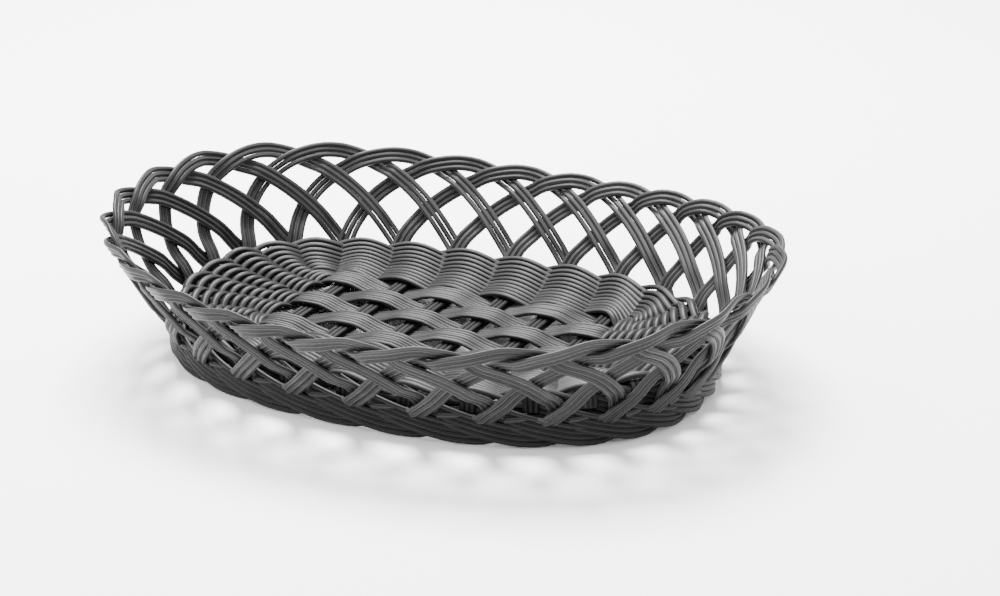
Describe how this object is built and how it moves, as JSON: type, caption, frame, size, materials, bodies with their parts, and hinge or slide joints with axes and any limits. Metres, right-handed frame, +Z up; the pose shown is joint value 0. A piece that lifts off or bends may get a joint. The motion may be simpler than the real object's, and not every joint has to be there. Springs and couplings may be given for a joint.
{
  "type": "bread basket",
  "caption": "Oval woven bread basket with a ribbon-woven base, twined rows, an open looped side and a plaited foot border.",
  "frame": {"origin": "centre of the outline on the surface that the foot border stands on", "axes": "+X along the oval, +Y across it, +Z up"},
  "size_m": [0.3075, 0.2416, 0.0693],
  "materials": {
    "side_bundle": "satin, fine lengthwise grooves",
    "base_ribbon": "satin, fine lengthwise grooves",
    "base_cross_bundle": "satin, fine lengthwise grooves",
    "weaving_row": "satin",
    "foot_border": "satin"
  },
  "bodies": {
    "root": {"cross_bundle_1": "base_cross_bundle", "cross_bundle_2": "base_cross_bundle", "cross_bundle_3": "base_cross_bundle", "cross_bundle_4": "base_cross_bundle", "cross_bundle_5": "base_cross_bundle", "cross_bundle_6": "base_cross_bundle", "foot_border": "foot_border", "long_ribbon_1_half_a": "base_ribbon", "long_ribbon_1_half_b": "base_ribbon", "long_ribbon_2": "base_ribbon", "long_ribbon_3_half_a": "base_ribbon", "long_ribbon_3_half_b": "base_ribbon", "long_ribbon_4": "base_ribbon", "long_ribbon_5_half_a": "base_ribbon", "long_ribbon_5_half_b": "base_ribbon", "side_loop_01": "side_bundle", "side_loop_02": "side_bundle", "side_loop_03": "side_bundle", "side_loop_04": "side_bundle", "side_loop_05": "side_bundle", "side_loop_06": "side_bundle", "side_loop_07": "side_bundle", "side_loop_08": "side_bundle", "side_loop_09": "side_bundle", "side_loop_10": "side_bundle", "side_loop_11": "side_bundle", "side_loop_12": "side_bundle", "side_loop_13": "side_bundle", "side_loop_14": "side_bundle", "side_loop_15": "side_bundle", "side_loop_16": "side_bundle", "side_loop_17": "side_bundle", "side_loop_18": "side_bundle", "side_loop_19": "side_bundle", "side_loop_20": "side_bundle", "side_loop_21": "side_bundle", "side_loop_22": "side_bundle", "side_loop_23": "side_bundle", "side_loop_24": "side_bundle", "side_loop_25": "side_bundle", "side_loop_26": "side_bundle", "side_loop_27": "side_bundle", "side_loop_28": "side_bundle", "weaving_row_01": "weaving_row", "weaving_row_02": "weaving_row", "weaving_row_03": "weaving_row", "weaving_row_04": "weaving_row", "weaving_row_05": "weaving_row", "weaving_row_06": "weaving_row", "weaving_row_07": "weaving_row", "weaving_row_08": "weaving_row", "weaving_row_09": "weaving_row", "weaving_row_10": "weaving_row", "weaving_row_11": "weaving_row"}
  },
  "joints": []
}
